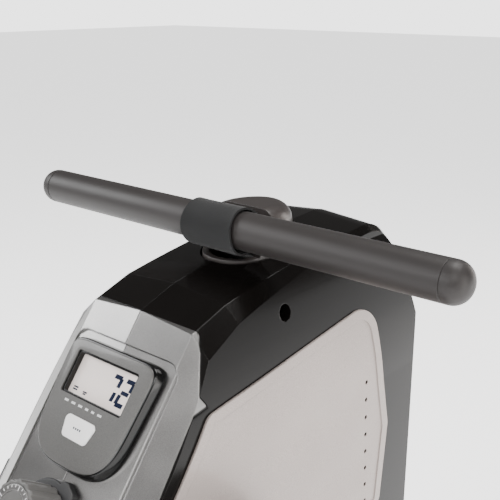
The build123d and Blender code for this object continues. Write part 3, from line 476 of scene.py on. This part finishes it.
def addConsoleSlab(bm, grow, low, high, narrow, edge):
    # a slab with the console's outline: squarish above, narrower and rounder below
    bmesh.ops.create_circle(bm, cap_ends=True, segments=144, radius=1)
    for v in bm.verts:
        turn = math.atan2(v.co.y, v.co.x)
        power = 2 / (console["topPower"] if v.co.y > 0 else console["lowPower"])
        x = math.copysign(abs(math.cos(turn)) ** power, v.co.x)
        y = math.copysign(abs(math.sin(turn)) ** power, v.co.y)
        y *= (console["rise"] if y > 0 else console["fall"]) + grow
        x *= console["half"] + grow + console["taper"] * y
        v.co = Vector((x, y, low)) / 1000
    raised = bmesh.ops.extrude_face_region(bm, geom=bm.faces[:])
    top = [g for g in raised["geom"] if isinstance(g, bmesh.types.BMVert)]
    bmesh.ops.scale(bm, vec=(narrow, narrow, 1), verts=top)
    bmesh.ops.translate(bm, vec=(0, 0, (high - low) / 1000), verts=top)
    rim = [e for e in bm.edges if all(v in top for v in e.verts)]
    bmesh.ops.bevel(bm, geom=rim, offset=edge / 1000, segments=3, affect="EDGES", profile=0.5,
                    material=-1)
    bmesh.ops.transform(bm, matrix=slopePlace(0, console["middle"], 0), verts=bm.verts)


def cutWindow(obj, left, right, top, bottom, corner):
    bm = bmesh.new()
    bmesh.ops.create_cube(bm, size=1)
    bmesh.ops.scale(bm, vec=((right - left) / 1000, (bottom - top) / 1000, 0.04), verts=bm.verts)
    upright = [e for e in bm.edges if abs(e.verts[0].co.z - e.verts[1].co.z) > 0.01]
    bmesh.ops.bevel(bm, geom=upright, offset=corner / 1000, segments=4, affect="EDGES", profile=0.5,
                    material=-1)
    middle = slopePlace((left + right) / 2, (top + bottom) / 2, 19.5)
    bmesh.ops.transform(bm, matrix=middle, verts=bm.verts)
    mesh = bpy.data.meshes.new("cutter")
    bm.to_mesh(mesh)
    bm.free()
    cutter = bpy.data.objects.new("cutter", mesh)
    bpy.context.scene.collection.objects.link(cutter)
    cut = obj.modifiers.new("cut", "BOOLEAN")
    cut.operation = "DIFFERENCE"
    cut.solver = "EXACT"
    cut.object = cutter
    applyModifiers(obj)
    bpy.data.objects.remove(cutter)
    obj.data.shade_smooth()
    obj.data.set_sharp_from_angle(angle=math.radians(30))


def makeConsole():
    bm = bmesh.new()
    addConsoleSlab(bm, 3.6, -2.6, 5.6, 0.965, 1.2)
    body = addPiece("consoleBody", bm, "frame", finishes["console_black"],
                    ["console_body"])
    cutWindow(body, *console["bodyWindow"])
    bm = bmesh.new()
    addConsoleSlab(bm, 0.6, 5.2, 6.9, 0.99, 0.6)
    face = addPiece("consoleFace", bm, "frame", finishes["console_face"],
                    ["console_face"])
    cutWindow(face, *console["faceWindow"])
    bm = bmesh.new()
    addBlock(bm, (-1, 0, 0), console["screen"], slopePlace(0, display["down"], display["raise"] - 0.5))
    addPiece("screenGlass", bm, "frame", finishes["lcd"], ["lcd_panel"], smooth=0)


display = {"digitHigh": 22.5, "digitWide": 11.5, "bar": 3.5, "lean": 0.12, "raise": 1.2, "thick": 0.2,
           "down": 62.5, "digits": (9.5, 23)}


def addBlock(bm, centre, size, place, lean=0.0):
    made = bmesh.ops.create_cube(bm, size=1)
    verts = made["verts"]
    for v in verts:
        x, y, z = v.co.x * size[0], v.co.y * size[1], v.co.z * size[2]
        v.co = Vector((centre[0] + x + lean * (centre[1] + y), centre[1] + y, centre[2] + z)) / 1000
    bmesh.ops.transform(bm, matrix=place, verts=verts)


def addDigit(bm, place, left, segments):
    # seven bars: top, upper right, lower right, bottom, lower left, upper left, middle
    wide, high, bar = display["digitWide"], display["digitHigh"], display["bar"]
    reach = high / 2 - bar * 1.15
    spots = {
        "a": ((0, high / 2 - bar / 2), (wide - bar, bar)),
        "b": ((wide / 2 - bar / 2, high / 4), (bar, reach)),
        "c": ((wide / 2 - bar / 2, -high / 4), (bar, reach)),
        "d": ((0, -high / 2 + bar / 2), (wide - bar, bar)),
        "e": ((-wide / 2 + bar / 2, -high / 4), (bar, reach)),
        "f": ((-wide / 2 + bar / 2, high / 4), (bar, reach)),
        "g": ((0, 0), (wide - bar, bar * 0.9)),
    }
    for key in segments:
        (x, y), (w, h) = spots[key]
        addBlock(bm, (left + x, y, 0), (w, h, display["thick"]), place, display["lean"])


def makeDisplay():
    bm = bmesh.new()
    place = slopePlace(0, display["down"], display["raise"])
    first, second = display["digits"]
    addDigit(bm, place, first, "abc")
    addDigit(bm, place, second, "abged")
    for x, y, w in ((-26.5, -10.2, 5), (-26.5, -12.2, 5), (-15, -11.4, 4.5), (-15, -12.9, 3)):
        addBlock(bm, (x, y, 0), (w, 1.1, display["thick"]), place, 0.1)
    addPiece("displayDigits", bm, "frame", inkDark, smooth=0)


label = {"words": (4.6, 4.8, 4.6, 4.4, 4.2, 5.2), "left": -27.0, "gap": 1.6, "down": 84.3, "pitch": 1.15,
         "buttonDown": 100.2}


def makeLabels():
    # rows of short dashes stand for the functions' names, and short bars for the button's word
    bm = bmesh.new()
    x = label["left"]
    tilt = slopePlace(0, label["down"], 6.95)
    for wide in label["words"]:
        strokes = int(wide / label["pitch"])
        for i in range(strokes):
            addBlock(bm, (x + i * label["pitch"] + 0.4, 0, 0), (0.75, 1.7, 0.12), tilt)
        x += strokes * label["pitch"] + label["gap"] + 2.1
    addPiece("functionMarks", bm, "frame", inkWhite, smooth=0)
    bm = bmesh.new()
    buttonTop = slopePlace(0, label["buttonDown"], 8.05)
    for x in (-3.6, -1.2, 1.2, 3.6):
        addBlock(bm, (x, 0, 0), (1.3, 1.5, 0.12), buttonTop)
    addPiece("buttonMark", bm, "mode_button", inkDark, smooth=0)


knob = {"down": 167, "top": 33.6, "inner": 13.1, "outer": 17.9, "ticks": 21}


def makeKnobRing():
    bm = bmesh.new()
    place = slopePlace(0, knob["down"], knob["top"])
    bmesh.ops.create_circle(bm, segments=64, radius=knob["inner"] / 1000)
    bmesh.ops.create_circle(bm, segments=64, radius=knob["outer"] / 1000)
    bmesh.ops.bridge_loops(bm, edges=bm.edges[:])
    raised = bmesh.ops.extrude_face_region(bm, geom=bm.faces[:])
    verts = [g for g in raised["geom"] if isinstance(g, bmesh.types.BMVert)]
    bmesh.ops.translate(bm, vec=(0, 0, 0.0011), verts=verts)
    bmesh.ops.transform(bm, matrix=place, verts=bm.verts)
    addPiece("knobRing", bm, "knob", finishes["surround"])
    bm = bmesh.new()
    for i in range(knob["ticks"]):
        turn = math.radians(-140 + 280 * i / (knob["ticks"] - 1))
        long = 3.4 if i % 5 == 0 else 1.8
        spot = Matrix.Rotation(-turn, 4, "Z")
        made = bmesh.ops.create_cube(bm, size=1)["verts"]
        bmesh.ops.scale(bm, vec=(0.0005, long / 1000, 0.0002), verts=made)
        bmesh.ops.translate(bm, vec=(0, (17.2 - long / 2) / 1000, 0.00115), verts=made)
        bmesh.ops.transform(bm, matrix=place @ spot, verts=made)
    addPiece("knobTicks", bm, "knob", inkWhite, smooth=0)


# ---------- seat ----------

seat = {"voxel": 0.005, "pressure": 4.0, "frames": 20, "cap": 0.007,
        "corner": 0.062, "piping": 0.0021,
        "sitBack": 0.01, "sitApart": 0.062, "sitDeep": 0.007, "rearLift": 0.004}


def makeSeat():
    low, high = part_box("seat_cushion")
    centre = (low + high) / 2
    size = high - low
    bm = bmesh.new()
    bmesh.ops.create_cube(bm, size=1)
    bmesh.ops.scale(bm, vec=(size.x * 0.955, size.y * 0.94, size.z * 0.74), verts=bm.verts)
    upright = [e for e in bm.edges if abs(e.verts[0].co.z - e.verts[1].co.z) > 0.01]
    bmesh.ops.bevel(bm, geom=upright, offset=seat["corner"], segments=10, affect="EDGES", profile=0.5,
                    material=-1)
    rims = [e for e in bm.edges if abs(e.verts[0].co.z - e.verts[1].co.z) < 1e-5
            and len(e.link_faces) == 2 and abs(e.link_faces[0].normal.z - e.link_faces[1].normal.z) > 0.5]
    bmesh.ops.bevel(bm, geom=rims, offset=0.010, segments=4, affect="EDGES", profile=0.6,
                    material=-1)
    bmesh.ops.triangulate(bm, faces=[f for f in bm.faces if len(f.verts) > 4])
    bmesh.ops.translate(bm, vec=centre - Vector((0, 0, size.z * 0.05)), verts=bm.verts)
    obj = addPiece("seatPad", bm, "seat", finishes["vinyl"], ["seat_cushion"])
    remesh = obj.modifiers.new("remesh", "REMESH")
    remesh.mode = "VOXEL"
    remesh.voxel_size = seat["voxel"]
    applyModifiers(obj)
    rest = [v.co.copy() for v in obj.data.vertices]
    cloth = obj.modifiers.new("cloth", "CLOTH")
    cloth.settings.use_pressure = True
    cloth.settings.uniform_pressure_force = seat["pressure"]
    cloth.settings.effector_weights.gravity = 0
    cloth.settings.quality = 6
    scene = bpy.context.scene
    for i in range(1, seat["frames"] + 1):
        scene.frame_set(i)
    graph = bpy.context.evaluated_depsgraph_get()
    blown = [v.co.copy() for v in obj.evaluated_get(graph).data.vertices]
    obj.modifiers.clear()
    scene.frame_set(1)
    for v, a, b in zip(obj.data.vertices, rest, blown):
        move = b - a
        if move.length > seat["cap"]:
            move = move.normalized() * seat["cap"]
        v.co = a + move
    floor = low.z + 0.0002
    hollow = Vector((centre.x, centre.y - seat["sitBack"], high.z))
    for v in obj.data.vertices:
        v.co.z = max(v.co.z, floor)
        v.co.x = min(max(v.co.x, low.x + 0.001), high.x - 0.001)
        v.co.y = min(max(v.co.y, low.y + 0.001), high.y - 0.001)
        v.co.z = min(v.co.z, high.z + 0.004)
        if v.co.z > centre.z:
            dx = abs(v.co.x - hollow.x) - seat["sitApart"]
            dy = (v.co.y - hollow.y) / 0.075
            v.co.z -= seat["sitDeep"] * math.exp(-(dx / 0.045) ** 2 - dy ** 2)
            lift = max(0, (hollow.y - 0.03 - v.co.y) / 0.09)
            v.co.z += seat["rearLift"] * min(1, lift)
    smooth = obj.modifiers.new("smooth", "SMOOTH")
    smooth.factor = 0.5
    smooth.iterations = 3
    finer = obj.modifiers.new("finer", "SUBSURF")
    finer.levels = 1
    finer.render_levels = 1
    applyModifiers(obj)
    obj.data.shade_smooth()
    # piped seam round the pad's lower edge
    bm = bmesh.new()
    bmesh.ops.create_cube(bm, size=1)
    bmesh.ops.scale(bm, vec=(size.x * 0.965, size.y * 0.955, 0.0001), verts=bm.verts)
    upright = [e for e in bm.edges if abs(e.verts[0].co.z - e.verts[1].co.z) > 0.00005]
    bmesh.ops.bevel(bm, geom=upright, offset=seat["corner"], segments=14, affect="EDGES", profile=0.5,
                    material=-1)
    top = [f for f in bm.faces if f.normal.z < -0.9 or f.normal.z > 0.9]
    loop = [v.co.copy() for v in max(top, key=lambda f: f.normal.z).verts]
    bm.free()
    curve = bpy.data.curves.new("seatPiping", "CURVE")
    curve.dimensions = "3D"
    curve.bevel_depth = seat["piping"]
    curve.bevel_resolution = 3
    line = curve.splines.new("POLY")
    line.points.add(len(loop) - 1)
    for point, at in zip(line.points, loop):
        point.co = (centre.x + at.x, centre.y + at.y, low.z + 0.0035, 1)
    line.use_cyclic_u = True
    maker = bpy.data.objects.new("pipingCurve", curve)
    bpy.context.scene.collection.objects.link(maker)
    bpy.context.view_layer.update()
    mesh = bpy.data.meshes.new_from_object(maker.evaluated_get(bpy.context.evaluated_depsgraph_get()))
    bpy.data.objects.remove(maker)
    bm = bmesh.new()
    bm.from_mesh(mesh)
    addPiece("seatPiping", bm, "seat", finishes["vinyl"], smooth=80)


# ---------- toe straps ----------

toe = {"tilt": math.radians(52), "up": 0.062, "half": 0.018, "wide": 0.0455, "high": 0.054,
       "base": 0.018, "thick": 0.0018, "segments": 40}


def makeToeStrap(side):
    sideName = "right" if side > 0 else "left"
    low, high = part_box(f"pedal_{sideName}")
    shaftLow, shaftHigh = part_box("pedal_shaft")
    shaft = (shaftLow + shaftHigh) / 2
    upward = Vector((0, math.cos(toe["tilt"]), math.sin(toe["tilt"])))
    outward = Vector((0, -math.sin(toe["tilt"]), math.cos(toe["tilt"])))
    centre = Vector(((low.x + high.x) / 2, shaft.y, shaft.z)) + upward * toe["up"]
    place = Matrix((
        (1, 0, 0, centre.x),
        (0, upward.y, outward.y, centre.y),
        (0, upward.z, outward.z, centre.z),
        (0, 0, 0, 1)))
    bm = bmesh.new()
    bmesh.ops.create_grid(bm, x_segments=toe["segments"], y_segments=8, size=0.5)
    for v in bm.verts:
        turn = math.pi * (v.co.x + 0.5)
        across = -math.cos(turn) * toe["wide"]
        rise = math.sin(turn) ** 0.8 * toe["high"]
        v.co = Vector((across, v.co.y * 2 * toe["half"], toe["base"] + rise))
    bmesh.ops.transform(bm, matrix=place, verts=bm.verts)
    obj = addPiece(f"toeStrap.{sideName}", bm, f"pedal_{sideName}", finishes["webbing"],
                   [f"toe_strap_{sideName}"])
    thick = obj.modifiers.new("thick", "SOLIDIFY")
    thick.thickness = toe["thick"]
    thick.offset = 0
    applyModifiers(obj)
    # a plastic ladder buckle near the top of the strap
    bm = bmesh.new()
    turn = math.radians(112)
    top = place @ Vector((-math.cos(turn) * toe["wide"], 0,
                          toe["base"] + math.sin(turn) ** 0.8 * (toe["high"] + 0.0025)))
    lean = Matrix.Rotation(math.radians(16), 4, "Y")
    frameBars = (((-13, 0), (4, 42)), ((13, 0), (4, 42)), ((0, 19), (26, 4)), ((0, -19), (26, 4)),
                 ((0, 0), (3, 36)))
    for (x, y), (w, h) in frameBars:
        made = bmesh.ops.create_cube(bm, size=1)["verts"]
        bmesh.ops.scale(bm, vec=(w / 1000, h / 1000, 0.003), verts=made)
        bmesh.ops.translate(bm, vec=(x / 1000, y / 1000, 0), verts=made)
    bmesh.ops.bevel(bm, geom=bm.edges[:], offset=0.0007, segments=2, affect="EDGES", profile=0.5,
                    material=-1)
    turned = Matrix.Translation(top) @ place.to_3x3().to_4x4() @ lean
    bmesh.ops.transform(bm, matrix=turned, verts=bm.verts)
    addPiece(f"strapBuckle.{sideName}", bm, f"pedal_{sideName}",
             finishes["black_plastic"])


makeCamera()
makeLights()
makeFloor()
print("stage: camera, lights and floor")
finishNodes()
print("stage: finishes on the frame's parts")
makeSleeve()
makePullStrap()
print("stage: bar sleeve and pull strap")
makeConsole()
makeDisplay()
makeLabels()
makeKnobRing()
print("stage: console, display and knob")
makeSeat()
print("stage: seat")
for side in (1, -1):
    makeToeStrap(side)
print("stage: toe straps")
